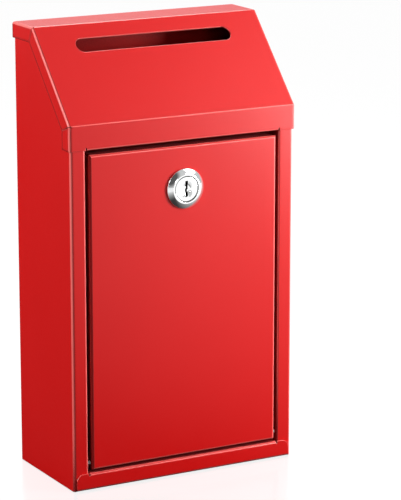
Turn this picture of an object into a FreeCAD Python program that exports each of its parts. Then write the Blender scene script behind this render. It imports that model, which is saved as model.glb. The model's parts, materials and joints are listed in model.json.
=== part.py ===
import FreeCAD, Part
import os
import re
import Sketcher
from FreeCAD import Vector

# Lockable drop box of folded sheet: a body shell, a base tray and a hood welded together,
# a flap door on two pivot pins, and a cam lock in the door.
# Frame: +Z up, front towards -Y, origin at the middle of the underside of the body. Millimetres.

wafer_count = 4
washer_teeth = 12

sizes = {
    # box
    "width": 150.0,  # across the sides of the body
    "depth": 74.0,  # from the front stiles to the back
    "height": 273.5,  # to the top of the hood
    "fold_height": 222.0,  # of the fold between the band and the slope
    "top_depth": 27.0,  # of the flat top
    "band_height": 15.0,  # of the upright band under the slope
    "sheet": 1.0,  # thickness of every folded sheet
    "bend": 1.6,  # outer radius of every other fold
    # body shell
    "stile": 10.0,  # width of each front stile
    "rest": 6.5,  # width of the folds that the closed door rests on
    "rest_gap": 0.2,  # between them and the door
    "rest_foot": 10.0,  # from the pivot up to their lower ends
    "rest_drop": 1.5,  # from the hood's lip down to their upper ends
    "hood_gap": 0.7,  # between the upper edges of the sides and the hood
    "foot_gap": 0.2,  # between the feet of the stiles and the base tray
    "wall_hole": 6.0,
    "wall_holes_apart": 100.0,  # across
    "wall_holes_rise": 150.0,  # from the lower pair to the upper pair
    "wall_holes_low": 45.0,  # height of the lower pair
    # hood
    "flange": 9.5,  # width of the side flanges
    "mitre_slit": 0.35,  # open joint between two flanges
    "slot_length": 104.6,
    "slot_width": 10.0,
    "slot_up": 55.1,  # from the lower fold to the middle of the slot, along the slope
    "lip_bend": 1.2,  # outer radius of the fold under the band
    "lip_gap": 0.5,  # between the ends of the lips and the stiles
    "relief": 0.8,  # width of the cuts at the ends of a fold
    # base tray
    "rail_height": 10.4,
    "rail_end": 1.8,  # from the end of the rail to the side of the body
    "rail_corner": 4.6,  # radius
    "rail_lip": 9.0,
    "tray_flange": 10.0,
    "tray_corner": 4.0,  # cut out of each rear corner
    # door
    "door_side_gap": 2.0,
    "door_top_gap": 3.0,
    "door_foot_gap": 1.8,
    "door_proud": 1.0,  # of its face in front of the stiles
    "door_depth": 11.0,
    "seam": 1.3,  # square cut out of the folds at each corner
    "pivot_setback": 3.0,  # of the pivot behind the stiles
    "pivot_rise": 5.6,  # of the pivot above the rail
    "pin": 2.2,
    "pin_fit": 0.05,  # radial
    "pin_head": 2.8,
    "pin_head_thick": 1.2,
    "pin_tail": 2.9,
    "pin_tail_thick": 0.7,
    "pin_play": 0.3,  # along the pin
    # lock housing
    "lock_drop": 26.0,  # from the upper edge of the door down to the axis of the lock
    "bezel": 24.4,
    "bezel_rim": 18.3,
    "bezel_proud": 2.8,
    "bezel_edge": 1.2,
    "bezel_break": 0.4,
    "barrel": 19.0,
    "barrel_flats": 16.0,
    "barrel_length": 16.0,
    "barrel_fit": 0.1,  # radial, in the door, the washer and the nut
    "wafer_groove": 7.2,  # half the height of the grooves that the wafers enter
    "face_seat": 0.8,  # depth of the seat of the plug's face behind the door's face
    # lock plug
    "plug": 12.0,
    "plug_fit": 0.05,  # radial
    "plug_face": 15.7,
    "face_recess": 0.35,  # of the plug's face behind the rim
    "face_play": 0.2,
    "keyway_high": 9.8,
    "keyway_wide": 1.8,
    "keyway_deep": 13.5,
    "ward": 0.55,
    "key_dimple": 6.0,
    "key_dimple_deep": 0.5,
    "tail": 8.0,  # square
    # wafers
    "wafer": 1.1,  # thickness
    "wafer_wide": 6.8,
    "wafer_play": 0.1,
    "wafer_start": 3.0,
    "wafer_pitch": 2.6,
    "window_wide": 2.6,
    "window_high": 6.4,
    "hook_reach": 5.0,
    "hook_low": 1.0,
    "hook_thick": 1.2,
    "hook_lift": 0.2,  # room under the hook
    "spring": 1.25,  # outer diameter
    "spring_wire": 0.25,
    "spring_foot": 2.6,  # depth of the spring's seat under the plug's axis
    "spring_turns": 4.0,
    "spring_bends": 6.0,  # straight runs in a turn
    "spring_bore": 1.7,
    # fasteners of the lock
    "washer": 26.0,
    "washer_thick": 0.8,
    "washer_tooth": 1.6,
    "nut": 24.0,  # across its flats
    "nut_thick": 4.5,
    # cam
    "stop_inner": 12.5,
    "stop_outer": 15.8,
    "stop_step": 1.0,
    "stop_gap": 0.15,
    "stop_thick": 1.0,
    "run_gap": 0.2,
    "cam_hub": 17.0,
    "cam_arm": 12.0,
    "cam_reach": 37.0,
    "cam_thick": 2.5,
    "cam_corner": 3.0,
    "cam_gap": 1.0,  # between the cam and the lip that it hooks behind
    "square_fit": 0.05,
    "tail_short": 0.3,  # of the tail inside the cam
    "spring_washer": 8.2,
    "spring_washer_thick": 1.0,
    "spring_washer_split": 0.8,
    "screw": 4.0,
    "screw_fit": 0.05,
    "screw_grip": 7.0,  # of the shank inside the plug
    "screw_head": 8.6,
    "screw_head_thick": 2.8,
    "screw_bevel": 1.0,
    "screw_drive": 4.4,
    "screw_drive_wide": 1.0,
    "screw_drive_deep": 1.4,
}

# Places that several pieces share, worked out from the sizes.
places = {
    "front": "-depth / 2",
    "rear": "depth / 2",
    "side": "width / 2",
    "inside": "width / 2 - sheet",
    "inner_bend": "bend - sheet",
    # front opening
    "opening": "side - stile",
    "lip_end": "opening - lip_gap",
    "rest_front": "door_front + door_depth + rest_gap",
    "rest_back": "rest_front + sheet",
    # hood
    "hood_side": "side + sheet",
    "hood_front": "front - sheet",
    "band_foot": "fold_height - band_height",
    "top_front": "rear - top_depth",
    "slope_run": "top_front - hood_front",
    "slope_rise": "height - fold_height",
    "slope_length": "sqrt(slope_run ^ 2 + slope_rise ^ 2)",
    "flange_back": "hood_front + flange",
    "hood_lip_back": "door_front + cam_front - cam_gap",
    # door
    "door_side": "opening - door_side_gap",
    "door_foot": "rail_height + door_foot_gap",
    "door_top": "band_foot - door_top_gap",
    "lock_height": "door_top - lock_drop",
    "door_front": "front - door_proud",
    "pivot_back": "front + pivot_setback",
    "pivot_height": "rail_height + pivot_rise",
    # lock, along its axis from the face of the door
    "face_front": "face_recess - bezel_proud",
    "face_back": "face_seat - face_play",
    "stop_front": "barrel_length + stop_step + run_gap",
    "cam_front": "stop_front + stop_thick",
    "cam_back": "cam_front + cam_thick",
    "plug_bore": "plug + 2 * plug_fit",
    "wafer_slot": "wafer + 2 * wafer_play",
    "spring_off": "(wafer_wide / 2 + hook_reach) / 2",
}

margin = "5"  # how far a cut reaches past what it cuts

doc = FreeCAD.newDocument("drop_box")
table = doc.addObject("Spreadsheet::Sheet", "sizes")
for row, (alias, number) in enumerate(sizes.items(), start=1):
    table.set(f"A{row}", alias)
    table.set(f"B{row}", str(number))
    table.setAlias(f"B{row}", alias)
doc.recompute()

sub_parts = []


def bound(text):
    """The text with each size turned into its cell and each place into its formula."""

    def swap(match):
        word = match.group()
        if word in sizes:
            return "sizes." + word
        if word in places:
            return f"({bound(places[word])})"
        return word

    return re.sub(r"[a-z_]+", swap, text)


def number_of(text):
    return float(table.evalExpression(bound(text)))


def new_body(name, **position):
    """A named sub-part, with the x, y and z of its own origin bound to the sizes."""
    body = doc.addObject("PartDesign::Body", name)
    body.Label = name
    for axis, text in position.items():
        body.setExpression(f"Placement.Base.{axis}", bound(text))
    sub_parts.append(body)
    return body


def origin_plane(body, role):
    return next(plane for plane in body.Origin.OriginFeatures if plane.Role == role)


def new_sketch(body, plane, offset="0"):
    """A sketch on an origin plane, moved along its normal: XY up, XZ to the front, YZ to the right."""
    sketch = body.newObject("Sketcher::SketchObject", "sketch")
    sketch.AttachmentSupport = (origin_plane(body, plane + "_Plane"), [""])
    sketch.MapMode = "FlatFace"
    sketch.setExpression("AttachmentOffset.Base.z", bound(offset))
    return sketch


def tie(sketch, kind, *geometry, size):
    index = sketch.addConstraint(Sketcher.Constraint(kind, *geometry, number_of(size)))
    sketch.setExpression(f"Constraints[{index}]", bound(size))


def tie_point(sketch, shape, point, u, v):
    tie(sketch, "DistanceX", -1, 1, shape, point, size=u)
    tie(sketch, "DistanceY", -1, 1, shape, point, size=v)


def join_ends(sketch, kind, *chain):
    """Ties the end of each line or arc to the start of the next, round to the first."""
    for shape, following in zip(chain, chain[1:] + chain[:1]):
        sketch.addConstraint(Sketcher.Constraint(kind, shape, 2, following, 1))


def outline(sketch, *corners):
    """A closed outline of straight lines."""
    points = [Vector(number_of(u), number_of(v), 0) for u, v in corners]
    lines = [
        sketch.addGeometry(Part.LineSegment(start, end))
        for start, end in zip(points, points[1:] + points[:1])
    ]
    join_ends(sketch, "Coincident", *lines)
    for line, (u, v) in zip(lines, corners):
        tie_point(sketch, line, 1, u, v)


def rectangle(sketch, low_u, high_u, low_v, high_v):
    outline(sketch, (low_u, low_v), (high_u, low_v), (high_u, high_v), (low_u, high_v))


def circle(sketch, u, v, diameter):
    centre = Vector(number_of(u), number_of(v), 0)
    ring = sketch.addGeometry(Part.Circle(centre, Vector(0, 0, 1), number_of(diameter) / 2))
    tie_point(sketch, ring, 3, u, v)
    tie(sketch, "Diameter", ring, size=diameter)


def obround(sketch, v, length, width):
    """A slot with round ends, centred across."""
    radius = number_of(width) / 2
    reach = number_of(f"({length} - {width}) / 2")
    level = number_of(v)
    quarter = FreeCAD.Units.Quantity("90 deg").getValueAs("rad").Value
    right = Part.Circle(Vector(reach, level, 0), Vector(0, 0, 1), radius)
    left = Part.Circle(Vector(-reach, level, 0), Vector(0, 0, 1), radius)
    shapes = [
        Part.ArcOfCircle(right, -quarter, quarter),
        Part.LineSegment(Vector(reach, level + radius, 0), Vector(-reach, level + radius, 0)),
        Part.ArcOfCircle(left, quarter, 3 * quarter),
        Part.LineSegment(Vector(-reach, level - radius, 0), Vector(reach, level - radius, 0)),
    ]
    right_end, upper, left_end, lower = [sketch.addGeometry(shape) for shape in shapes]
    join_ends(sketch, "Tangent", right_end, upper, left_end, lower)
    sketch.addConstraint(Sketcher.Constraint("Equal", right_end, left_end))
    tie(sketch, "Diameter", right_end, size=width)
    tie_point(sketch, right_end, 3, f"({length} - {width}) / 2", v)
    tie_point(sketch, left_end, 3, f"({width} - {length}) / 2", v)


def flatted_circle(sketch, v, diameter, across):
    """A circle with two upright flats, centred across."""
    centre = Vector(0, number_of(v), 0)
    radius = number_of(diameter) / 2
    half = number_of(across) / 2
    rise = (radius**2 - half**2) ** 0.5
    ring = Part.Circle(centre, Vector(0, 0, 1), radius)
    corners = [
        centre + Vector(x, z, 0)
        for x, z in ((half, rise), (-half, rise), (-half, -rise), (half, -rise))
    ]
    angles = [ring.parameter(corner) for corner in corners]
    shapes = [
        Part.ArcOfCircle(ring, angles[0], angles[1]),
        Part.LineSegment(corners[1], corners[2]),
        Part.ArcOfCircle(ring, angles[2], angles[3]),
        Part.LineSegment(corners[3], corners[0]),
    ]
    upper, left, lower, right = [sketch.addGeometry(shape) for shape in shapes]
    join_ends(sketch, "Coincident", upper, left, lower, right)
    for arc in (upper, lower):
        tie_point(sketch, arc, 3, "0", v)
        tie(sketch, "Diameter", arc, size=diameter)
    for flat, half_across in ((left, f"-({across}) / 2"), (right, f"({across}) / 2")):
        for end in (1, 2):
            tie(sketch, "DistanceX", -1, 1, flat, end, size=half_across)


def work_out(body, feature):
    """Makes the feature the last of its body, and stops if its shape can't be worked out."""
    body.Tip = feature
    doc.recompute()
    if "Invalid" in feature.State or feature.Shape.isNull():
        raise ValueError(f"{feature.Label} of {body.Label} could not be worked out")
    return feature


def extrude(body, kind, sketch, length, centred=False, backwards=False):
    feature = body.newObject(f"PartDesign::{kind}", kind.lower())
    feature.Profile = sketch
    feature.setExpression("Length", bound(length))
    feature.SideType = "Symmetric" if centred else "One side"
    feature.Reversed = backwards
    return work_out(body, feature)


def pad(body, sketch, length, **ways):
    """Adds along the sketch's normal."""
    return extrude(body, "Pad", sketch, length, **ways)


def pocket(body, sketch, length, **ways):
    """Cuts against the sketch's normal, and stops if it met no material."""
    before = body.Shape.Volume
    feature = extrude(body, "Pocket", sketch, length, **ways)
    if feature.Shape.Volume >= before:
        raise ValueError(f"a cut in {body.Label} met no material")
    return feature


def revolve(body, sketch):
    """A solid of revolution about the sketch's horizontal axis."""
    feature = body.newObject("PartDesign::Revolution", "revolution")
    feature.Profile = sketch
    feature.ReferenceAxis = (sketch, ["H_Axis"])
    return work_out(body, feature)


def round_off(body, radius, edges):
    """Rounds the edges of the body's last feature that the test picks."""
    base = body.Tip
    names = [f"Edge{n}" for n, edge in enumerate(base.Shape.Edges, start=1) if edges(edge)]
    if not names:
        raise ValueError(f"no edge to round in {body.Label}")
    fillet = body.newObject("PartDesign::Fillet", "fillet")
    fillet.Base = (base, names)
    fillet.setExpression("Radius", bound(radius))
    work_out(body, fillet)


def mirror(body, feature):
    """Repeats a feature on the other side of the middle of the box."""
    copy = body.newObject("PartDesign::Mirrored", "mirrored")
    copy.Originals = [feature]
    copy.MirrorPlane = (origin_plane(body, "YZ_Plane"), [""])
    work_out(body, copy)


def near(first, second):
    return abs(first - second) < 1e-4


def lies_at(edge, **position):
    """Whether a whole edge lies at the given x, y or z."""
    box = edge.BoundBox
    return all(
        near(getattr(box, f"{axis.upper()}Min"), number_of(text))
        and near(getattr(box, f"{axis.upper()}Max"), number_of(text))
        for axis, text in position.items()
    )


def at_any(*positions):
    """A test for edges that lie at any of the given positions."""
    return lambda edge: any(lies_at(edge, **position) for position in positions)


def both_sides(**position):
    """The position and its mirror image."""
    return position, {**position, "x": f"-1 * ({position['x']})"}


def mirrored_corners(*corners):
    """The corners of a right half followed by those of the left half."""
    return (*corners, *((f"-1 * ({u})", v) for u, v in reversed(corners)))


def low_corner(inset):
    """Height of the corner between band and slope on a line that runs inside the hood's outline."""
    return f"(fold_height - ({inset}) * (slope_length - slope_rise) / slope_run)"


def high_corner(inset):
    """Depth of the corner between slope and top on a line that runs inside the hood's outline."""
    return f"(top_front + ({inset}) * (slope_length - slope_run) / slope_rise)"


def under_hood(inset):
    """Corners of the room under a line that runs inside the hood's outline, open below and behind."""
    return (
        (f"hood_front + {inset}", f"band_foot - {margin}"),
        (f"hood_front + {inset}", low_corner(inset)),
        (high_corner(inset), f"height - {inset}"),
        (f"rear + {margin}", f"height - {inset}"),
        (f"rear + {margin}", f"band_foot - {margin}"),
    )


def make_body_shell():
    body = new_body("body_shell")
    plan = new_sketch(body, "XY")
    outer = (
        ("side", "rear"),
        ("side", "front"),
        ("opening", "front"),
        ("opening", "rest_front"),
        ("opening - rest", "rest_front"),
    )
    inner = (
        ("opening - rest", "rest_back"),
        ("opening + sheet", "rest_back"),
        ("opening + sheet", "front + sheet"),
        ("inside", "front + sheet"),
        ("inside", "rear - sheet"),
    )
    outline(plan, *mirrored_corners(*outer, *inner))
    pad(body, plan, "height")
    round_off(
        body,
        "bend",
        at_any(
            *both_sides(x="side", y="rear"),
            *both_sides(x="side", y="front"),
            *both_sides(x="opening", y="front"),
            *both_sides(x="opening + sheet", y="rest_back"),
        ),
    )
    round_off(
        body,
        "inner_bend",
        at_any(
            *both_sides(x="inside", y="rear - sheet"),
            *both_sides(x="inside", y="front + sheet"),
            *both_sides(x="opening + sheet", y="front + sheet"),
            *both_sides(x="opening", y="rest_front"),
        ),
    )

    # The upper edges follow the underside of the hood.
    drop = "(sheet + hood_gap)"
    above = new_sketch(body, "YZ")
    outline(
        above,
        (f"hood_front + {drop} - {margin}", f"{low_corner(drop)} - {margin} * slope_rise / slope_run"),
        (high_corner(drop), f"height - {drop}"),
        (f"rear + {margin}", f"height - {drop}"),
        (f"rear + {margin}", f"height + {margin}"),
        (f"hood_front + {drop} - {margin}", f"height + {margin}"),
    )
    pocket(body, above, f"width + {margin}", centred=True)

    # The folds behind the door end clear of its swinging foot and of the hood's lip.
    ends = new_sketch(body, "XZ", "inner_bend - rest_front")
    half = "opening + sheet"
    rectangle(ends, f"-1 * ({half})", half, f"-{margin}", "pivot_height + rest_foot")
    rectangle(ends, f"-1 * ({half})", half, "band_foot - rest_drop", "height")
    pocket(body, ends, f"bend + {margin}")

    # The feet of the stiles end above the fold of the base tray.
    feet = new_sketch(body, "XZ", "-front")
    rectangle(feet, "bend - side", "side - bend", f"-{margin}", "bend + foot_gap")
    pocket(body, feet, "rest_front - front")

    pivots = new_sketch(body, "YZ")
    circle(pivots, "pivot_back", "pivot_height", "pin + 2 * pin_fit")
    pocket(body, pivots, "2 * (opening + 2 * sheet)", centred=True)

    wall = new_sketch(body, "XZ", "-rear")
    for across in ("-wall_holes_apart / 2", "wall_holes_apart / 2"):
        for rise in ("wall_holes_low", "wall_holes_low + wall_holes_rise"):
            circle(wall, across, rise, "wall_hole")
    pocket(body, wall, "2 * sheet", backwards=True)


def hood_folds(inset):
    """A test for the edges of the hood's folds, outside or a sheet further in."""
    across = at_any(
        {"y": high_corner(inset), "z": f"height - {inset}"},
        {"y": f"hood_front + {inset}", "z": low_corner(inset)},
    )
    along = at_any({"x": f"hood_side - {inset}"}, {"x": f"{inset} - hood_side"})
    open_end = at_any({"y": "rear"}, {"z": "band_foot"})
    return lambda edge: across(edge) or (along(edge) and not open_end(edge))


def make_hood():
    body = new_body("hood")
    profile = new_sketch(body, "YZ")
    outline(
        profile,
        ("rear", "band_foot"),
        ("rear", "height"),
        ("top_front", "height"),
        ("hood_front", "fold_height"),
        ("hood_front", "band_foot"),
    )
    pad(body, profile, "2 * hood_side", centred=True)

    round_off(body, "bend", hood_folds("0"))
    room = new_sketch(body, "YZ")
    outline(room, *under_hood("sheet"))
    pocket(body, room, "2 * side", centred=True)
    round_off(body, "inner_bend", hood_folds("sheet"))

    # Only a flange is left of each side.
    window = new_sketch(body, "YZ")
    outline(window, *under_hood("flange"))
    pocket(body, window, f"2 * hood_side + {margin}", centred=True)

    # The flanges meet in open mitres at the two folds.
    slits = new_sketch(body, "YZ", "hood_side - bend")
    half = "mitre_slit / 2"
    outline(
        slits,
        (f"top_front - {half}", f"height + {half}"),
        (f"top_front + {half}", f"height + {half}"),
        (f"{high_corner('flange')} + {half}", f"height - flange - {half}"),
        (f"{high_corner('flange')} - {half}", f"height - flange - {half}"),
    )
    outline(
        slits,
        (f"hood_front - {half}", f"fold_height - {half}"),
        (f"hood_front - {half}", f"fold_height + {half}"),
        (f"flange_back + {half}", f"{low_corner('flange')} + {half}"),
        (f"flange_back + {half}", f"{low_corner('flange')} - {half}"),
    )
    mirror(body, pocket(body, slits, f"bend + {margin}", backwards=True))

    # The lip under the band closes the top of the door's opening.
    lip = new_sketch(body, "XY", "band_foot")
    rectangle(lip, "-lip_end", "lip_end", "hood_front", "hood_lip_back")
    pad(body, lip, "sheet")
    cuts = new_sketch(body, "XZ", "-front")
    for low, high in (("lip_end", "lip_end + relief"), ("-lip_end - relief", "-lip_end")):
        rectangle(cuts, low, high, f"band_foot - {margin}", "band_foot + bend")
    pocket(body, cuts, f"sheet + {margin}", backwards=True)
    fold_lip(body, "lip_bend", "band_foot", "band_foot + sheet")

    slot = new_sketch(body, "XZ")
    slot.AttachmentOffset = FreeCAD.Placement(Vector(), FreeCAD.Rotation(Vector(-1, 0, 0), 45))
    slot.setExpression("AttachmentOffset.Base.y", bound("fold_height"))
    slot.setExpression("AttachmentOffset.Base.z", bound("-hood_front"))
    slot.setExpression("AttachmentOffset.Rotation.Angle", bound("atan(slope_run / slope_rise)"))
    obround(slot, "slot_up", "slot_length", "slot_width")
    pocket(body, slot, "2 * sheet")


def fold_lip(body, radius, outer_level, inner_level):
    """Rounds the fold between an upright front sheet and its lip, between the cuts at the lip's ends."""
    reach = number_of("lip_end + relief / 2")

    def within(test):
        return lambda edge: test(edge) and abs(edge.CenterOfMass.x) + edge.Length / 2 < reach

    round_off(body, radius, within(at_any({"y": "hood_front", "z": outer_level})))
    round_off(body, f"{radius} - sheet", within(at_any({"y": "front", "z": inner_level})))


def make_base_tray():
    body = new_body("base_tray")
    rail_side = "side - rail_end"
    notch_front = "front + sheet"
    notch_side = "inside - bend - foot_gap"
    flange_front = "front + sheet + relief"
    flange_rear = "rear - sheet - tray_corner"
    flange_side = "inside - tray_corner"

    plan = new_sketch(body, "XY")
    outline(
        plan,
        *mirrored_corners(
            (rail_side, "hood_front"),
            (rail_side, notch_front),
            (notch_side, notch_front),
            (notch_side, flange_front),
            ("inside", flange_front),
            ("inside", flange_rear),
            (flange_side, flange_rear),
            (flange_side, "rear - sheet"),
        ),
    )
    pad(body, plan, "sheet")

    flanges = new_sketch(body, "XY")
    rectangle(flanges, "inside - sheet", "inside", flange_front, flange_rear)
    rectangle(flanges, "-inside", "sheet - inside", flange_front, flange_rear)
    rectangle(flanges, f"-1 * ({flange_side})", flange_side, "rear - 2 * sheet", "rear - sheet")
    pad(body, flanges, "tray_flange")

    rail = new_sketch(body, "XY")
    rectangle(rail, f"-1 * ({rail_side})", rail_side, "hood_front", "front")
    pad(body, rail, "rail_height")
    round_off(body, "rail_corner", at_any(*both_sides(x=rail_side, z="rail_height")))

    lip = new_sketch(body, "XY", "rail_height - sheet")
    rectangle(lip, "-lip_end", "lip_end", "hood_front", "hood_front + rail_lip")
    pad(body, lip, "sheet")
    cuts = new_sketch(body, "XZ", "-front")
    for low, high in (("lip_end", "lip_end + relief"), ("-lip_end - relief", "-lip_end")):
        rectangle(cuts, low, high, "rail_height - bend", f"rail_height + {margin}")
    pocket(body, cuts, f"sheet + {margin}", backwards=True)
    fold_lip(body, "bend", "rail_height", "rail_height - sheet")

    round_off(
        body,
        "bend",
        at_any(
            *both_sides(x="inside", z="0"),
            {"y": "rear - sheet", "z": "0"},
            {"y": "hood_front", "z": "0"},
        ),
    )
    round_off(
        body,
        "inner_bend",
        at_any(
            *both_sides(x="inside - sheet", z="sheet"),
            {"y": "rear - 2 * sheet", "z": "sheet"},
            {"y": "front", "z": "sheet"},
        ),
    )


def make_door_panel():
    body = new_body("door_panel")
    face = new_sketch(body, "XZ", "-door_front")
    rectangle(face, "-door_side", "door_side", "door_foot", "door_top")
    pad(body, face, "door_depth", backwards=True)
    round_off(body, "bend", at_any({"y": "door_front"}))
    room = new_sketch(body, "XZ", "-door_front - sheet")
    rectangle(room, "sheet - door_side", "door_side - sheet", "door_foot + sheet", "door_top - sheet")
    pocket(body, room, "door_depth")
    round_off(body, "inner_bend", at_any({"y": "door_front + sheet"}))

    seams = new_sketch(body, "XZ", "-door_front - bend")
    for low_u, high_u in (
        (f"-door_side - {margin}", "seam - door_side"),
        ("door_side - seam", f"door_side + {margin}"),
    ):
        rectangle(seams, low_u, high_u, f"door_foot - {margin}", "door_foot + seam")
        rectangle(seams, low_u, high_u, "door_top - seam", f"door_top + {margin}")
    pocket(body, seams, f"door_depth + {margin}")

    lock_hole = new_sketch(body, "XZ", "-door_front")
    flatted_circle(
        lock_hole, "lock_height", "barrel + 2 * barrel_fit", "barrel_flats + 2 * barrel_fit"
    )
    pocket(body, lock_hole, "2 * sheet")

    pivots = new_sketch(body, "YZ")
    circle(pivots, "pivot_back", "pivot_height", "pin + 2 * pin_fit")
    pocket(body, pivots, f"2 * door_side + {margin}", centred=True)


def make_pivot_pin(name, sign):
    """A rivet with its head behind the stile's lip and its tail inside the door."""
    body = new_body(name, y="pivot_back", z="pivot_height")
    head = "opening + sheet"
    tail = "door_side - sheet - pin_play"
    half_section = (
        (f"{tail} - pin_tail_thick", "0"),
        (f"{tail} - pin_tail_thick", "pin_tail / 2"),
        (tail, "pin_tail / 2"),
        (tail, "pin / 2"),
        (head, "pin / 2"),
        (head, "pin_head / 2"),
        (f"{head} + pin_head_thick", "pin_head / 2"),
        (f"{head} + pin_head_thick", "0"),
    )
    sketch = new_sketch(body, "XZ")
    outline(sketch, *((f"{sign} * ({u})", v) for u, v in half_section))
    revolve(body, sketch)


def new_lock_body(name):
    """A piece of the lock, with its origin where the lock's axis meets the face of the door."""
    return new_body(name, y="door_front", z="lock_height")


def make_lock_housing():
    body = new_lock_body("lock_housing")
    half_section = new_sketch(body, "YZ")
    face_bore = "plug_face / 2 + plug_fit"
    widening = "(bezel - bezel_rim) / 2 / (bezel_proud - bezel_edge)"
    outline(
        half_section,
        ("-bezel_proud", face_bore),
        ("-bezel_proud", "bezel_rim / 2 - bezel_break"),
        ("bezel_break - bezel_proud", f"bezel_rim / 2 + bezel_break * {widening}"),
        ("-bezel_edge", "bezel / 2"),
        ("0", "bezel / 2"),
        ("0", "barrel / 2"),
        ("barrel_length", "barrel / 2"),
        ("barrel_length", "plug_bore / 2"),
        ("face_seat", "plug_bore / 2"),
        ("face_seat", face_bore),
    )
    revolve(body, half_section)

    flats = new_sketch(body, "XZ")
    for low, high in (("barrel_flats / 2", "barrel"), ("-barrel", "-barrel_flats / 2")):
        rectangle(flats, low, high, "-barrel", "barrel")
    pocket(body, flats, "barrel_length")

    grooves = new_sketch(body, "XZ", "-face_seat")
    half = "wafer_wide / 2 + 2 * wafer_play"
    rectangle(grooves, f"-1 * ({half})", half, "-wafer_groove", "wafer_groove")
    pocket(body, grooves, "keyway_deep")

    # The stop fills a quarter of the turn, on the right.
    ring = new_sketch(body, "XZ", "-barrel_length")
    circle(ring, "0", "0", "stop_inner")
    circle(ring, "0", "0", "stop_outer")
    pad(body, ring, "stop_step", backwards=True)
    rest = new_sketch(body, "XZ", "-barrel_length")
    outline(
        rest,
        ("stop_gap", "0"),
        ("stop_gap + barrel", "barrel"),
        ("-barrel", "barrel"),
        ("-barrel", "-barrel"),
        ("stop_gap + barrel", "-barrel"),
    )
    pocket(body, rest, f"stop_step + {margin}")


def make_lock_plug():
    body = new_lock_body("lock_plug")
    half_section = new_sketch(body, "YZ")
    outline(
        half_section,
        ("face_front", "0"),
        ("face_front", "plug_face / 2"),
        ("face_back", "plug_face / 2"),
        ("face_back", "plug / 2"),
        ("barrel_length", "plug / 2"),
        ("barrel_length", "0"),
    )
    revolve(body, half_section)

    tail = new_sketch(body, "XZ", "-barrel_length")
    rectangle(tail, "-tail / 2", "tail / 2", "-tail / 2", "tail / 2")
    pad(body, tail, "cam_back - tail_short - barrel_length", backwards=True)

    screw_hole = new_sketch(body, "XZ", "-cam_back")
    circle(screw_hole, "0", "0", "screw + 2 * screw_fit")
    pocket(body, screw_hole, "screw_grip + screw_fit", backwards=True)

    dimple = new_sketch(body, "XZ", "-face_front")
    circle(dimple, "0", "0", "key_dimple")
    pocket(body, dimple, "key_dimple_deep")

    # The keyway has a ward on each side.
    keyway = new_sketch(body, "XZ", "-face_front")
    half = "keyway_wide / 2"
    end = "keyway_high / 2"
    step = "keyway_high / 5"
    outline(
        keyway,
        (f"-{half}", f"-{end}"),
        (half, f"-{end}"),
        (half, f"-{step}"),
        (f"{half} - ward", f"-{step}"),
        (f"{half} - ward", "0"),
        (half, "0"),
        (half, end),
        (f"-{half}", end),
        (f"-{half}", step),
        (f"ward - {half}", step),
        (f"ward - {half}", "0"),
        (f"-{half}", "0"),
    )
    pocket(body, keyway, "keyway_deep")

    slots = new_sketch(body, "YZ")
    hook_slots = new_sketch(body, "YZ", "wafer_wide / 2")
    bores = new_sketch(body, "XY", "-spring_foot")
    for index in range(wafer_count):
        start = f"wafer_start + {index} * wafer_pitch"
        end = f"{start} + wafer_slot"
        rectangle(slots, start, end, "-plug", "plug")
        rectangle(hook_slots, start, end, "hook_low - hook_lift", "plug")
        circle(bores, "spring_off", f"{start} + wafer_slot / 2", "spring_bore")
    pocket(body, slots, "wafer_wide + 2 * wafer_play", centred=True)
    pocket(body, hook_slots, "hook_reach + wafer_play - wafer_wide / 2", backwards=True)
    pocket(body, bores, "spring_foot + hook_low", backwards=True)


def make_wafer(index):
    """A flat tumbler with a window for the key and a hook over its spring."""
    body = new_lock_body(f"wafer_{index + 1}")
    front = f"wafer_start + {index} * wafer_pitch + wafer_play"
    disc = new_sketch(body, "XZ", f"-1 * ({front})")
    circle(disc, "0", "0", "plug")
    pad(body, disc, "wafer", backwards=True)
    trim = new_sketch(body, "XZ", f"-1 * ({front})")
    half = "wafer_wide / 2"
    hook_top = "hook_low + hook_thick"
    rectangle(trim, "-plug", f"-{half}", "-plug", "plug")
    outline(
        trim,
        (half, "-plug"),
        ("plug", "-plug"),
        ("plug", "plug"),
        (half, "plug"),
        (half, hook_top),
        ("hook_reach", hook_top),
        ("hook_reach", "hook_low"),
        (half, "hook_low"),
    )
    rectangle(trim, "-window_wide / 2", "window_wide / 2", "-window_high / 2", "window_high / 2")
    pocket(body, trim, "wafer")


def make_wafer_spring(index):
    """A coil spring of square wire in short straight runs, under the hook of its wafer."""
    middle = f"door_front + wafer_start + {index} * wafer_pitch + wafer_slot / 2"
    half_wire = number_of("spring_wire / 2")
    runs = round(number_of("spring_bends * spring_turns"))
    rise = number_of("spring_foot + hook_low - spring_wire") / runs
    bend_angle = 360 / number_of("spring_bends")
    mean_radius = number_of("(spring - spring_wire) / 2")
    corners = ((-1, -1), (1, -1), (1, 1), (-1, 1), (-1, -1))
    sections = []
    for bend in range(runs + 1):
        turn = FreeCAD.Rotation(Vector(0, 0, 1), bend * bend_angle)
        points = [
            Vector(mean_radius + u * half_wire, 0, bend * rise + v * half_wire) for u, v in corners
        ]
        sections.append(Part.makePolygon([turn.multVec(point) for point in points]))
    spring = doc.addObject("Part::Feature", f"wafer_spring_{index + 1}")
    spring.Shape = Part.makeLoft(sections, True, True)
    for axis, text in (
        ("x", "spring_off"),
        ("y", middle),
        ("z", "lock_height - spring_foot + spring_wire / 2"),
    ):
        spring.setExpression(f"Placement.Base.{axis}", bound(text))
    sub_parts.append(spring)


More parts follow.
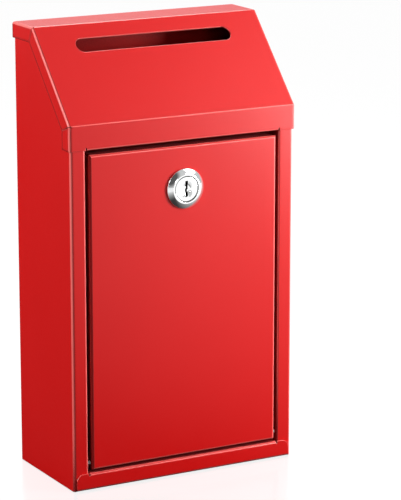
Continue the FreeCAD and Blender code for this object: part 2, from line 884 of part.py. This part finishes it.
def make_lock_washer():
    """A ring with short teeth round its edge."""
    body = new_lock_body("lock_washer")
    ring = new_sketch(body, "XZ", "-sheet")
    circle(ring, "0", "0", "washer")
    circle(ring, "0", "0", "barrel + 2 * barrel_fit")
    pad(body, ring, "washer_thick", backwards=True)
    gap = new_sketch(body, "XZ", "-sheet")
    half = "washer_tooth / 2"
    rectangle(gap, f"-{half}", half, f"washer / 2 - {half}", "washer")
    cut = pocket(body, gap, "washer_thick")
    teeth = body.newObject("PartDesign::PolarPattern", "teeth")
    teeth.Originals = [cut]
    teeth.Axis = (origin_plane(body, "Y_Axis"), [""])
    teeth.Angle = 360
    teeth.Occurrences = washer_teeth
    work_out(body, teeth)


def make_lock_nut():
    body = new_lock_body("lock_nut")
    front = "sheet + washer_thick"
    hexagon = new_sketch(body, "XZ", f"-1 * ({front})")
    outline(
        hexagon,
        ("0", "nut / sqrt(3)"),
        ("-nut / 2", "nut / sqrt(12)"),
        ("-nut / 2", "-nut / sqrt(12)"),
        ("0", "-nut / sqrt(3)"),
        ("nut / 2", "-nut / sqrt(12)"),
        ("nut / 2", "nut / sqrt(12)"),
    )
    circle(hexagon, "0", "0", "barrel + 2 * barrel_fit")
    pad(body, hexagon, "nut_thick", backwards=True)


def make_stop_washer():
    """Turns with the plug, and its step meets the housing's stop at both ends of the turn."""
    body = new_lock_body("stop_washer")
    plate = new_sketch(body, "XZ", "-stop_front")
    circle(plate, "0", "0", "stop_outer")
    pad(body, plate, "stop_thick", backwards=True)
    step_front = "barrel_length + run_gap"
    ring = new_sketch(body, "XZ", f"-1 * ({step_front})")
    circle(ring, "0", "0", "stop_inner")
    circle(ring, "0", "0", "stop_outer")
    pad(body, ring, "stop_step", backwards=True)
    rest = new_sketch(body, "XZ", f"-1 * ({step_front})")
    outline(
        rest,
        ("0", "0"),
        ("stop_outer", "-stop_outer"),
        ("stop_outer", "stop_outer"),
        ("-stop_outer", "stop_outer"),
        ("-stop_outer", "-stop_outer"),
    )
    pocket(body, rest, "stop_step")
    cut_square(body, "stop_front", "stop_thick")


def cut_square(body, front, thickness):
    """The hole that fits over the square tail of the plug."""
    hole = new_sketch(body, "XZ", f"-1 * ({front})")
    half = "tail / 2 + square_fit"
    rectangle(hole, f"-1 * ({half})", half, f"-1 * ({half})", half)
    pocket(body, hole, thickness)


def make_cam():
    """The arm hangs down while the lock is open."""
    body = new_lock_body("cam")
    arm = new_sketch(body, "XZ", "-cam_front")
    rectangle(arm, "-cam_arm / 2", "cam_arm / 2", "-cam_reach", "0")
    pad(body, arm, "cam_thick", backwards=True)
    round_off(body, "cam_corner", at_any(*both_sides(x="cam_arm / 2", z="-cam_reach")))
    hub = new_sketch(body, "XZ", "-cam_front")
    circle(hub, "0", "0", "cam_hub")
    pad(body, hub, "cam_thick", backwards=True)
    cut_square(body, "cam_front", "cam_thick")


def make_cam_spring_washer():
    body = new_lock_body("cam_spring_washer")
    ring = new_sketch(body, "XZ", "-cam_back")
    circle(ring, "0", "0", "spring_washer")
    circle(ring, "0", "0", "screw + 4 * screw_fit")
    pad(body, ring, "spring_washer_thick", backwards=True)
    split = new_sketch(body, "XZ", "-cam_back")
    half = "spring_washer_split / 2"
    rectangle(split, f"-{half}", half, "0", "spring_washer")
    pocket(body, split, "spring_washer_thick")


def make_cam_screw():
    body = new_lock_body("cam_screw")
    seat = "cam_back + spring_washer_thick"
    top = f"{seat} + screw_head_thick"
    half_section = new_sketch(body, "YZ")
    outline(
        half_section,
        ("cam_back - screw_grip", "0"),
        ("cam_back - screw_grip", "screw / 2"),
        (seat, "screw / 2"),
        (seat, "screw_head / 2"),
        (f"{top} - screw_bevel", "screw_head / 2"),
        (top, "screw_head / 2 - screw_bevel"),
        (top, "0"),
    )
    revolve(body, half_section)
    drive = new_sketch(body, "XZ", f"-1 * ({top})")
    half = "screw_drive_wide / 2"
    end = "screw_drive / 2"
    outline(
        drive,
        (half, half),
        (half, end),
        (f"-{half}", end),
        (f"-{half}", half),
        (f"-{end}", half),
        (f"-{end}", f"-{half}"),
        (f"-{half}", f"-{half}"),
        (f"-{half}", f"-{end}"),
        (half, f"-{end}"),
        (half, f"-{half}"),
        (end, f"-{half}"),
        (end, half),
    )
    pocket(body, drive, "screw_drive_deep", backwards=True)


make_body_shell()
make_base_tray()
make_hood()
make_door_panel()
make_pivot_pin("left_pivot_pin", -1)
make_pivot_pin("right_pivot_pin", 1)
make_lock_housing()
make_lock_plug()
for wafer_index in range(wafer_count):
    make_wafer(wafer_index)
    make_wafer_spring(wafer_index)
make_lock_washer()
make_lock_nut()
make_stop_washer()
make_cam()
make_cam_spring_washer()
make_cam_screw()

doc.recompute()
for item in doc.Objects:
    if "Invalid" in item.State or "Error" in item.State:
        raise ValueError(f"{item.Label} could not be worked out")
for body in sub_parts:
    if body.Shape.isNull() or not body.Shape.isValid():
        raise ValueError(f"{body.Label} has no sound shape")

os.makedirs("parts", exist_ok=True)
for body in sub_parts:
    body.Shape.exportStep(f"parts/{body.Label}.step")
    print(body.Label, len(body.Shape.Solids), round(body.Shape.Volume, 2))
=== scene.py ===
import json
import math
import bmesh
import bpy
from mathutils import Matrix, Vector


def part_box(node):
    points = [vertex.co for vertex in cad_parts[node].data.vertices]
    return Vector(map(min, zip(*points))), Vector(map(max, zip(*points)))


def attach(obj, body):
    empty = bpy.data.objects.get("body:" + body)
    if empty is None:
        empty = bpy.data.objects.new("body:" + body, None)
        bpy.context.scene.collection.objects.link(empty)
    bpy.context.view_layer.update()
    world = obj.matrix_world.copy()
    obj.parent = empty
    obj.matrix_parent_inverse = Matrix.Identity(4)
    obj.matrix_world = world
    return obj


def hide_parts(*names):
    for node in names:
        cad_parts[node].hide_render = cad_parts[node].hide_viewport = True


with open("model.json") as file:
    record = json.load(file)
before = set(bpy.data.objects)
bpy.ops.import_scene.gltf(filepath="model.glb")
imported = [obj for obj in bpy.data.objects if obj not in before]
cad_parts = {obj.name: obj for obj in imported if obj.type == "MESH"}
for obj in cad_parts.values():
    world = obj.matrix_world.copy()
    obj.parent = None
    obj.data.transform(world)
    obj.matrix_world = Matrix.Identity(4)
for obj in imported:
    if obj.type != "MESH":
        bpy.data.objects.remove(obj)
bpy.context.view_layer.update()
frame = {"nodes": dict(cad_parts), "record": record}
nodes = frame["nodes"]
scene = bpy.context.scene
scene.view_settings.view_transform = "Standard"
print("frame loaded:", len(nodes), "nodes")


# shader maths: one socket, with the operators that the finishes use
class Value:
    def __init__(self, finish, socket):
        self.finish = finish
        self.socket = socket

    def math(self, operation, first, second):
        return self.finish.node("ShaderNodeMath", {"operation": operation}, {0: first, 1: second})

    def __add__(self, other):
        return self.math("ADD", self, other)

    def __radd__(self, other):
        return self.math("ADD", other, self)

    def __sub__(self, other):
        return self.math("SUBTRACT", self, other)

    def __rsub__(self, other):
        return self.math("SUBTRACT", other, self)

    def __mul__(self, other):
        return self.math("MULTIPLY", self, other)

    def __rmul__(self, other):
        return self.math("MULTIPLY", other, self)

    def __abs__(self):
        return self.math("ABSOLUTE", self, 0.0)

    def __or__(self, other):  # the larger of two values
        return self.math("MAXIMUM", self, other)

    def __ror__(self, other):
        return self.math("MAXIMUM", other, self)


# a node tree with one way to add a node: settings first, then values or links
class Finish:
    def __init__(self, name, owner=None):
        self.material = owner or bpy.data.materials.new(name)
        self.material.use_nodes = True
        self.tree = self.material.node_tree
        self.tree.nodes.clear()

    def node(self, kind, settings=None, inputs=None, out=0):
        made = self.tree.nodes.new(kind)
        for key, value in (settings or {}).items():
            setattr(made, key, value)
        for key, value in (inputs or {}).items():
            if isinstance(value, Value):
                self.tree.links.new(value.socket, made.inputs[key])
            else:
                made.inputs[key].default_value = value
        return Value(self, made.outputs[out]) if made.outputs else made

    def place(self):
        return self.node("ShaderNodeTexCoord", out="Object")

    def noise(self, scale, detail=2.0, roughness=0.5):
        inputs = {"Vector": self.place(), "Scale": scale, "Detail": detail, "Roughness": roughness}
        return self.node("ShaderNodeTexNoise", None, inputs)

    def spread(self, value, low, high, newLow=0.0, newHigh=1.0):
        return self.node("ShaderNodeMapRange", None, {0: value, 1: low, 2: high, 3: newLow, 4: newHigh})

    def along(self, vector, axis):
        settings = {"operation": "DOT_PRODUCT"}
        return self.node("ShaderNodeVectorMath", settings, {0: vector, 1: axis}, out="Value")

    def mix(self, factor, first, second):
        return self.node("ShaderNodeMix", {"data_type": "RGBA"}, {0: factor, 6: first, 7: second}, out=2)

    # how open the place is: 0 deep in a seam, 1 on a free face
    def openness(self, reach):
        return self.node("ShaderNodeAmbientOcclusion", {"samples": 8}, {"Distance": reach}, out="AO")

    # the face's normal, rounded over its edges
    def rounded(self, radius, samples=8):
        return self.node("ShaderNodeBevel", {"samples": samples}, {"Radius": radius})

    # 1 for the rays of the camera, of reflections and of light passing through
    def rays(self):
        kinds = ("Is Camera Ray", "Is Glossy Ray", "Is Transmission Ray")
        return [self.node("ShaderNodeLightPath", out=kind) for kind in kinds]

    def bump(self, height, strength, distance, normal=None):
        inputs = {"Height": height, "Strength": strength, "Distance": distance}
        if normal:
            inputs["Normal"] = normal
        return self.node("ShaderNodeBump", None, inputs)

    def shade(self, inputs):
        shader = self.node("ShaderNodeBsdfPrincipled", None, inputs)
        self.node("ShaderNodeOutputMaterial", None, {"Surface": shader})
        return self.material


def rgb(red, green, blue):
    return (red, green, blue, 1.0)


coat = {
    "colour": rgb(0.72, 0.006, 0.006),
    "shade": rgb(0.69, 0.004, 0.004),
    "painted_highlight": rgb(1.0, 0.17, 0.155),  # painted highlight along every fold and cut edge, standing for the glint of the lamps
    "painted_dark": rgb(0.28, 0.0005, 0.0005),  # painted shade: a dark band beside a fold, standing for the shade and dark reflection it shows
    "seam": rgb(0.25, 0.001, 0.001),  # painted shade down in the gaps and inside the box
    "roughness": 0.32,
    # roughness on the painted highlight lines, lower so that the lamps catch them
    "highlight_roughness": 0.2,
    "specular": 0.4,
    "peel": 700.0,  # bumps of the sprayed surface, per metre
    "edge": 0.0006,  # radius of the coat over a cut edge
    "reach": 0.07,  # metres within which another sheet makes a gap
    "slope": (0.0, -0.7315, 0.6818),  # square to the slope of the hood
    "corner": (0.066, 0.069),  # metres to the left, where the painted dark stripe starts and is full
}


# sunk is 1 where left-facing folds beside a gap are painted with the gap's shade, hem the width of a
# painted shade line round a side flange, brim how far a fold turns to the left before its painted dark band
# ends, stripe the width of the painted dark stripe before it
def makeCoat(name, sunk=0.0, hem=0.0, brim=0.52, stripe=0.0):
    finish = Finish(name)
    drift = finish.noise(9.0, 3.0)
    speck = finish.noise(coat["peel"], 2.0, 0.6)
    # the sheets are flat along the axes and the slope, and every other face is a fold or a cut edge
    normal = finish.node("ShaderNodeTexCoord", out="Normal")
    flat = abs(finish.along(normal, coat["slope"]))
    for axis in ((1, 0, 0), (0, 1, 0), (0, 0, 1)):
        flat = flat | abs(finish.along(normal, axis))
    fold = finish.spread(flat, 0.995, 0.95)
    rounded = finish.rounded(coat["edge"])
    shaded = finish.node("ShaderNodeNewGeometry", out="Normal")
    # painted highlight: folds and cut edges are painted lighter where the lamps would glint on them
    highlight = fold | finish.spread(finish.along(rounded, shaded), 0.98, 0.8)
    left = finish.along(normal, (-1, 0, 0))
    front = finish.along(normal, (0, -1, 0))
    turned = finish.spread(left, 0.05, 0.15) * finish.spread(left, brim, brim - 0.1)
    # painted shade: a dark band on the part of a fold past its highlight, a dark stripe beside the left
    # corner and a dark line round the hood's side flange
    dark_band = fold * turned * finish.spread(front, 0.2, 0.4)
    if stripe:
        outward = finish.along(finish.place(), (-1, 0, 0))
        corner = finish.spread(outward, *coat["corner"])
        ahead = finish.spread(front, 0.95, 0.99) * corner
        tilt = finish.along(finish.rounded(stripe), (-1, 0, 0))
        dark_band = dark_band | ahead * finish.spread(tilt, 0.04, 0.14)
    if hem:
        turn = finish.along(finish.rounded(hem), shaded)
        dark_band = dark_band | finish.spread(abs(left), 0.9, 0.98) * finish.spread(turn, 0.995, 0.9)
    # painted shade: where other sheets close round a place, as in the gaps and inside the box, the coat is
    # painted dark, and so are left-facing folds beside a gap where sunk is set
    space = finish.openness(coat["reach"])
    hidden = fold * finish.spread(left, 0.05, 0.2) * finish.spread(space, 0.75, 0.55) * sunk
    free = finish.spread(space, 0.25, 0.5) - hidden
    paint = finish.mix(finish.spread(drift, 0.35, 0.65), coat["colour"], coat["shade"])
    paint = finish.mix(dark_band, finish.mix(highlight, paint, coat["painted_highlight"]), coat["painted_dark"])
    rough = finish.spread(speck, 0.3, 0.7, coat["roughness"] - 0.04, coat["roughness"] + 0.04)
    rough = (rough - highlight * (coat["roughness"] - coat["highlight_roughness"])) | dark_band * 0.9
    return finish.shade(
        {
            "Base Color": finish.mix(free, coat["seam"], paint),
            "Roughness": rough | finish.spread(free, 0.0, 0.6, 0.9, 0.0),
            "Specular IOR Level": coat["specular"],
            "Normal": finish.bump(speck, 0.06, 0.0002, rounded),
        }
    )


chrome = {
    "colour": rgb(0.88, 0.89, 0.89),
    "recess_shade": rgb(0.01, 0.01, 0.01),  # painted shade in the grooves
    "groove": 0.0015,  # metres within which a wall makes a groove
    "edge": 0.00025,
    "roughness": 0.06,
}


def makeChrome():
    finish = Finish("lock chrome")
    smear = finish.noise(260.0, 4.0)
    # painted shade: the chrome is painted near black where a wall closes over it, in grooves and the keyway
    free = finish.spread(finish.openness(chrome["groove"]), 0.35, 0.75)
    return finish.shade(
        {
            "Base Color": finish.mix(free, chrome["recess_shade"], chrome["colour"]),
            "Metallic": 1.0,
            "Roughness": finish.spread(smear, 0.3, 0.7, chrome["roughness"], chrome["roughness"] + 0.06),
            "Normal": finish.rounded(chrome["edge"], 6),
        }
    )


zinc = {"colour": rgb(0.62, 0.63, 0.65), "dull": rgb(0.48, 0.49, 0.50), "roughness": 0.3}


def makeZinc():
    finish = Finish("bright zinc")
    bloom = finish.noise(420.0, 5.0, 0.6)
    return finish.shade(
        {
            "Base Color": finish.mix(finish.spread(bloom, 0.4, 0.65), zinc["colour"], zinc["dull"]),
            "Metallic": 1.0,
            "Roughness": finish.spread(bloom, 0.3, 0.7, zinc["roughness"], zinc["roughness"] + 0.15),
            "Normal": finish.bump(bloom, 0.08, 0.0001),
        }
    )


brass = {
    "colour": rgb(0.75, 0.55, 0.24),
    "dull": rgb(0.55, 0.38, 0.15),
    "recess_shade": rgb(0.01, 0.007, 0.004),  # painted shade inside the keyway
    "groove": 0.004,
    "roughness": 0.28,
}


def makeBrass():
    finish = Finish("stamped brass")
    tarnish = finish.noise(600.0, 4.0)
    plain = finish.mix(finish.spread(tarnish, 0.4, 0.7), brass["colour"], brass["dull"])
    # painted shade: the wafers are painted near black deep in the keyway
    free = finish.spread(finish.openness(brass["groove"]), 0.3, 0.8)
    return finish.shade(
        {
            "Base Color": finish.mix(free, brass["recess_shade"], plain),
            "Metallic": 1.0,
            "Roughness": finish.spread(tarnish, 0.3, 0.7, brass["roughness"], brass["roughness"] + 0.12),
        }
    )


wire = {"colour": rgb(0.46, 0.46, 0.48), "dull": rgb(0.34, 0.34, 0.36), "roughness": 0.3}


def makeWire():
    finish = Finish("spring wire")
    drawn = finish.noise(900.0, 3.0)
    return finish.shade(
        {
            "Base Color": finish.mix(finish.spread(drawn, 0.4, 0.6), wire["colour"], wire["dull"]),
            "Metallic": 1.0,
            "Roughness": finish.spread(drawn, 0.3, 0.7, wire["roughness"], wire["roughness"] + 0.1),
        }
    )


# painted highlight: the pins' colour is near white so that they look lit where they show in the gaps
pin_highlight = {"colour": rgb(0.97, 0.97, 0.96), "metal": 0.15, "roughness": 0.35}


# the pivot pins are painted near white, a painted highlight so that their ends shine in the dark gaps
def makePinHighlight():
    finish = Finish("pin zinc, painted highlight")
    swirl = finish.noise(1500.0, 3.0)
    rough = finish.spread(swirl, 0.3, 0.7, pin_highlight["roughness"], pin_highlight["roughness"] + 0.1)
    return finish.shade({"Base Color": pin_highlight["colour"], "Metallic": pin_highlight["metal"], "Roughness": rough})


finishes = {
    "red_coat": makeCoat("red powder coat"),
    "lock_chrome": makeChrome(),
    "zinc_plate": makeZinc(),
    "wafer_brass": makeBrass(),
    "spring_steel": makeWire(),
}

pinFinish = makePinHighlight()
ownFinish = {
    "body_shell": makeCoat("red powder coat, frame", sunk=1.0, stripe=0.002),
    "hood": makeCoat("red powder coat, hood", hem=0.0026, stripe=0.002),
    "door_panel": makeCoat("red powder coat, door", sunk=1.0, brim=1.2),
    "left_pivot_pin": pinFinish,
    "right_pivot_pin": pinFinish,
}
slots = {part["node"]: part["material_slot"] for part in frame["record"]["subparts"]}


def dressNodes():
    for node, slot in slots.items():
        mesh = nodes[node].data
        mesh.materials.clear()
        mesh.materials.append(ownFinish.get(node, finishes[slot]))
    print("nodes dressed")


dressNodes()


def makePiece(name, body, node, mesh):
    piece = bpy.data.objects.new(name, mesh)
    scene.collection.objects.link(piece)
    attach(piece, body)
    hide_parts(node)
    mesh.materials.append(finishes[slots[node]])


# sharp lines stay sharp, the rest is shaded round
def crease(shape, angle=0.5):
    bmesh.ops.recalc_face_normals(shape, faces=shape.faces)
    for face in shape.faces:
        face.smooth = True
    for edge in shape.edges:
        if len(edge.link_faces) == 2:
            edge.smooth = edge.calc_face_angle() < angle


# turns a profile of (depth, radius) in millimetres round the axis of the lock
def turnProfile(shape, profile, steps, centre, reshape=None):
    rings = []
    for depth, radius in profile:
        ring = []
        for step in range(steps if radius else 1):
            angle = 2 * math.pi * step / steps
            size = reshape(depth, radius, angle) if reshape else (radius, radius)
            across, up = size[0] * math.cos(angle), size[1] * math.sin(angle)
            ring.append(shape.verts.new(centre + Vector((across, depth, up)) * 0.001))
        rings.append(ring)
    return rings


def skinRings(shape, rings, closed):
    pairs = list(zip(rings, rings[1:])) + ([(rings[-1], rings[0])] if closed else [])
    for near, far in pairs:
        count = max(len(near), len(far))
        for step in range(count):
            following = (step + 1) % count
            corners = [near[step % len(near)], near[following % len(near)]]
            corners += [far[following % len(far)], far[step % len(far)]]
            shape.faces.new(list(dict.fromkeys(corners)))


def lockCentre():
    low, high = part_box("lock_housing")
    return Vector(((low.x + high.x) / 2, low.y + housing["proud"] * 0.001, (low.z + high.z) / 2))


housing = {
    "steps": 96,
    "proud": 2.8,  # millimetres, here and below
    "flats": 8.0,
    "pitch": 1.0,  # of the thread
    "threadDeep": 0.4,
    "threadStart": 1.2,
    "threadEnd": 15.4,
    "bore": 6.05,
    "grooveHalf": 3.8,  # the wafers enter a groove on either side of the bore
    "grooveHigh": 7.2,
    "grooveEnd": 14.3,
    "barrel": 9.5,
    "barrelEnd": 16.0,
    "seat": 7.9,  # radius of the recess for the plug's face
    "grain": 8,  # rings for each turn of the thread
}


def shapeBarrel(depth, radius, angle):
    if housing["threadStart"] < depth < housing["threadEnd"] and radius > 8.0:
        turn = depth / housing["pitch"] - angle / (2 * math.pi)
        radius -= housing["threadDeep"] * abs(2 * (turn % 1.0) - 1)
    if radius == housing["bore"] and depth < housing["grooveEnd"]:
        if abs(math.cos(angle)) * radius < housing["grooveHalf"]:
            return radius, housing["grooveHigh"] / abs(math.sin(angle))
    if depth > 0.01 and radius > housing["flats"]:
        side = abs(math.cos(angle)) * radius
        if side > housing["flats"]:
            return radius * housing["flats"] / side, radius
    return radius, radius


def makeHousing():
    front = -housing["proud"]
    seat, barrel, barrelEnd = housing["seat"], housing["barrel"], housing["barrelEnd"]
    profile = [(front + 0.2, seat), (front + 0.05, 7.95), (front, 8.1), (front, 8.9)]
    profile += [(front + 0.03, 9.02), (front + 0.1, 9.15)]  # the rim breaks into the cone
    profile += [(-1.3, 12.05), (-1.15, 12.16), (-1.0, 12.2), (-0.1, 12.2), (0.0, 12.1)]
    profile += [(0.0, barrel), (1.0, barrel)]
    grain = housing["grain"]
    for ring in range(1, int(14.6 * grain)):
        profile.append((1.0 + ring / grain, barrel))
    bore, end = housing["bore"], housing["grooveEnd"]
    profile += [(barrelEnd - 0.4, barrel), (barrelEnd, barrel - 0.4), (barrelEnd, bore)]
    profile += [(end, bore), (end - 0.01, bore), (0.8, bore), (0.8, seat)]
    shape = bmesh.new()
    rings = turnProfile(shape, profile, housing["steps"], lockCentre(), shapeBarrel)
    skinRings(shape, rings, closed=True)
    # the quarter of a ring that stops the turn
    corners = []
    for step in range(13):
        angle = math.radians(-43.5 + 87 * step / 12)
        for depth, radius in ((15.9, 6.25), (15.9, 7.9), (17.0, 7.9), (17.0, 6.25)):
            point = Vector((radius * math.cos(angle), depth, radius * math.sin(angle)))
            corners.append(shape.verts.new(lockCentre() + point * 0.001))
    for start in range(0, len(corners) - 4, 4):
        for side in range(4):
            other = (side + 1) % 4
            quad = [corners[start + side], corners[start + other]]
            quad += [corners[start + 4 + other], corners[start + 4 + side]]
            shape.faces.new(quad)
    shape.faces.new(corners[:4])
    shape.faces.new(corners[-4:])
    crease(shape)
    mesh = bpy.data.meshes.new("turnedHousing")
    shape.to_mesh(mesh)
    shape.free()
    makePiece("turned_housing", "door", "lock_housing", mesh)


plug = {
    "steps": 96,
    "face": -2.45,  # millimetres from the door's face, here and below
    "dimple": 3.0,
    "dimpleDeep": 0.5,
    "keyHigh": 9.8,
    "keyWide": 1.8,
    "keyDeep": 13.5,
    "ward": 0.55,
    "rim": 7.85,  # radius of the face
    "core": 6.0,
    "coreEnd": 16.0,
    "tail": 4.0,
    "tailStart": 15.9,
    "tailEnd": 20.4,
}


def keywayCutter():
    half, end = plug["keyWide"] / 2, plug["keyHigh"] / 2
    step, ward = plug["keyHigh"] / 5, plug["ward"]
    right = [(half, -end), (half, -step), (half - ward, -step * 0.8), (half - ward, -step * 0.2)]
    right += [(half, 0.0), (half, end)]
    left = [(-half, end), (-half, step), (ward - half, step * 0.8), (ward - half, step * 0.2)]
    left += [(-half, 0.0), (-half, -end)]
    shape = bmesh.new()
    layers = []
    for depth in (plug["face"] - 1.0, plug["face"] + plug["keyDeep"]):
        points = [Vector((across, depth, up)) * 0.001 for across, up in right + left]
        layers.append([shape.verts.new(lockCentre() + point) for point in points])
    for near, far in zip(range(len(layers[0])), list(range(1, len(layers[0]))) + [0]):
        shape.faces.new([layers[0][near], layers[0][far], layers[1][far], layers[1][near]])
    shape.faces.new(layers[0])
    shape.faces.new(layers[1])
    bmesh.ops.recalc_face_normals(shape, faces=shape.faces)
    mesh = bpy.data.meshes.new("keywayCutter")
    shape.to_mesh(mesh)
    shape.free()
    cutter = bpy.data.objects.new("keywayCutter", mesh)
    scene.collection.objects.link(cutter)
    return cutter


def makePlug():
    face, dimple = plug["face"], plug["dimple"]
    floor = face + plug["dimpleDeep"]
    profile = [(floor, 0.0), (floor, dimple - 0.35), (floor - 0.1, dimple - 0.15)]
    profile += [(face + 0.05, dimple - 0.02), (face, dimple + 0.08)]
    rim, core, coreEnd = plug["rim"], plug["core"], plug["coreEnd"]
    # a groove runs round the face
    profile += [(face, 7.3), (face + 0.08, 7.42), (face + 0.7, 7.46), (face + 0.7, rim)]
    profile += [(0.6, rim), (0.6, core), (coreEnd, core), (coreEnd, 0.0)]
    shape = bmesh.new()
    skinRings(shape, turnProfile(shape, profile, plug["steps"], lockCentre()), closed=False)
    bmesh.ops.recalc_face_normals(shape, faces=shape.faces)
    mesh = bpy.data.meshes.new("turnedPlug")
    shape.to_mesh(mesh)
    blank = bpy.data.objects.new("blank", mesh)
    scene.collection.objects.link(blank)
    cutter = keywayCutter()
    cut = blank.modifiers.new("keyway", "BOOLEAN")
    cut.object, cut.operation, cut.solver = cutter, "DIFFERENCE", "EXACT"
    bpy.context.view_layer.update()
    carved = blank.evaluated_get(bpy.context.evaluated_depsgraph_get()).to_mesh()
    shape.clear()
    shape.from_mesh(carved)
    for spare in (blank, cutter):
        bpy.data.objects.remove(spare)
    # the square tail that carries the cam
    wide, start = 2 * plug["tail"], plug["tailStart"]
    long = plug["tailEnd"] - start
    for vert in bmesh.ops.create_cube(shape, size=1.0)["verts"]:
        place = Vector((vert.co.x * wide, vert.co.y * long, vert.co.z * wide))
        vert.co = lockCentre() + (place + Vector((0, start + long / 2, 0))) * 0.001
    crease(shape)
    mesh = bpy.data.meshes.new("keyedPlug")
    shape.to_mesh(mesh)
    shape.free()
    makePiece("keyed_plug", "lock_core", "lock_plug", mesh)


makeHousing()
makePlug()
print("lock turned")


studio = {
    "floorSize": 6.0,
    "floorLow": -0.0003,  # just clear of the underside of the box
    "floorColour": rgb(0.5, 0.5, 0.5),
    "floorBounce": rgb(0.04, 0.04, 0.04),  # what it throws back on the object
    "floorSeen": 0.82,  # share of plain white where the camera sees the floor
    "glares": [  # a glossy surface shows the floor whiter towards the lamps, in metres out
        {"towards": (0.85, -0.53, 0.0), "near": 0.05, "far": 0.42, "share": 0.93},
        {"towards": (-0.9, -0.43, 0.0), "near": 0.16, "far": 0.6, "share": 0.75},
    ],
    "floorStrength": 1.33,
    "floorShine": 0.25,
    "ambient": 0.1,
    "mirrored": 0.64,
    "roomTowards": (-0.55, -0.62, 0.56),  # the room is dark behind the camera
    "roomDark": 0.08,
}


def makeFloor():
    half = studio["floorSize"] / 2
    mesh = bpy.data.meshes.new("floor")
    low = studio["floorLow"]
    corners = [(-half, -half, low), (half, -half, low), (half, half, low), (-half, half, low)]
    mesh.from_pydata(corners, [], [(0, 1, 2, 3)])
    floor = bpy.data.objects.new("floor", mesh)
    scene.collection.objects.link(floor)
    finish = Finish("pale floor")
    camera, glossy, through = finish.rays()
    glare = 0.0
    for values in studio["glares"]:
        out = finish.along(finish.place(), values["towards"])
        glare = glare | finish.spread(out, values["near"], values["far"], 0.0, values["share"])
    share = camera * studio["floorSeen"] + (glossy + through) * glare
    colour = finish.mix(camera, studio["floorBounce"], studio["floorColour"])
    ground = finish.node("ShaderNodeBsdfDiffuse", None, {"Color": colour})
    white = finish.node(
        "ShaderNodeEmission", None, {"Color": rgb(1, 1, 1), "Strength": studio["floorStrength"]}
    )
    pale = finish.node("ShaderNodeMixShader", None, {0: share, 1: ground, 2: white})
    shine = finish.node("ShaderNodeBsdfGlossy", None, {"Color": rgb(1, 1, 1), "Roughness": 0.22})
    both = finish.node(
        "ShaderNodeMixShader", None, {0: camera * studio["floorShine"], 1: pale, 2: shine}
    )
    finish.node("ShaderNodeOutputMaterial", None, {"Surface": both})
    mesh.materials.append(finish.material)


def makeWorld():
    world = bpy.data.worlds.new("studio")
    scene.world = world
    finish = Finish("studio", world)
    camera, glossy, through = finish.rays()
    behind = finish.along(finish.node("ShaderNodeTexCoord", out="Generated"), studio["roomTowards"])
    room = finish.spread(behind, 0.78, 0.92, studio["mirrored"], studio["roomDark"])
    shown = camera | (glossy | through) * room
    strength = shown | studio["ambient"]
    back = finish.node("ShaderNodeBackground", None, {"Color": rgb(1, 1, 1), "Strength": strength})
    finish.node("ShaderNodeOutputWorld", None, {"Surface": back})


lamps = {
    "key": {"at": (0.405, -0.39, 0.25), "aim": (0, 0, 0.18), "size": (0.16, 0.3), "power": 3.4},
    "over": {"at": (0.5, -0.3, 0.7), "aim": (0, 0, 0.2), "size": (0.45, 0.45), "power": 1.15},
    "back": {"at": (0.2, 0.5, 0.92), "aim": (0, 0, 0.2), "size": (0.6, 0.6), "power": 7.0},
    "side": {"at": (-0.9, 0.08, 0.45), "aim": (0, 0, 0.15), "size": (0.6, 0.6), "power": 7.0},
    "rim": {"at": (-0.54, -0.05, 0.55), "aim": (0, 0, 0.2), "size": (0.05, 0.2), "power": 0.35},
    "glint": {"at": (0.45, -0.72, 0.7), "aim": (0, 0, 0.2), "size": (0.12, 0.12), "power": 0.8},
    "fill": {"at": (-0.15, -1.1, 0.45), "aim": (0, 0, 0.15), "size": (0.3, 0.3), "power": 1.0},
}


def makeLamps():
    for name, values in lamps.items():
        data = bpy.data.lights.new(name, "AREA")
        data.shape = "RECTANGLE"
        data.size, data.size_y = values["size"]
        data.energy = values["power"]
        lamp = bpy.data.objects.new(name, data)
        lamp.visible_camera = False
        scene.collection.objects.link(lamp)
        lamp.location = values["at"]
        towards = Vector(values["aim"]) - Vector(values["at"])
        lamp.rotation_euler = towards.to_track_quat("-Z", "Y").to_euler()
    print("lamps:", ", ".join(lamps))


view = {
    "at": (-0.7136, -1.3443, 0.5011),
    "along": (0.4713, 0.8500, -0.2356),
    "lens": 184.6,
}


def makeCamera():
    data = bpy.data.cameras.new("camera")
    data.lens = view["lens"]
    data.clip_end = 20.0
    camera = bpy.data.objects.new("camera", data)
    scene.collection.objects.link(camera)
    camera.location = view["at"]
    camera.rotation_euler = Vector(view["along"]).to_track_quat("-Z", "Y").to_euler()
    scene.camera = camera


makeFloor()
makeWorld()
makeLamps()
makeCamera()
print("studio ready")
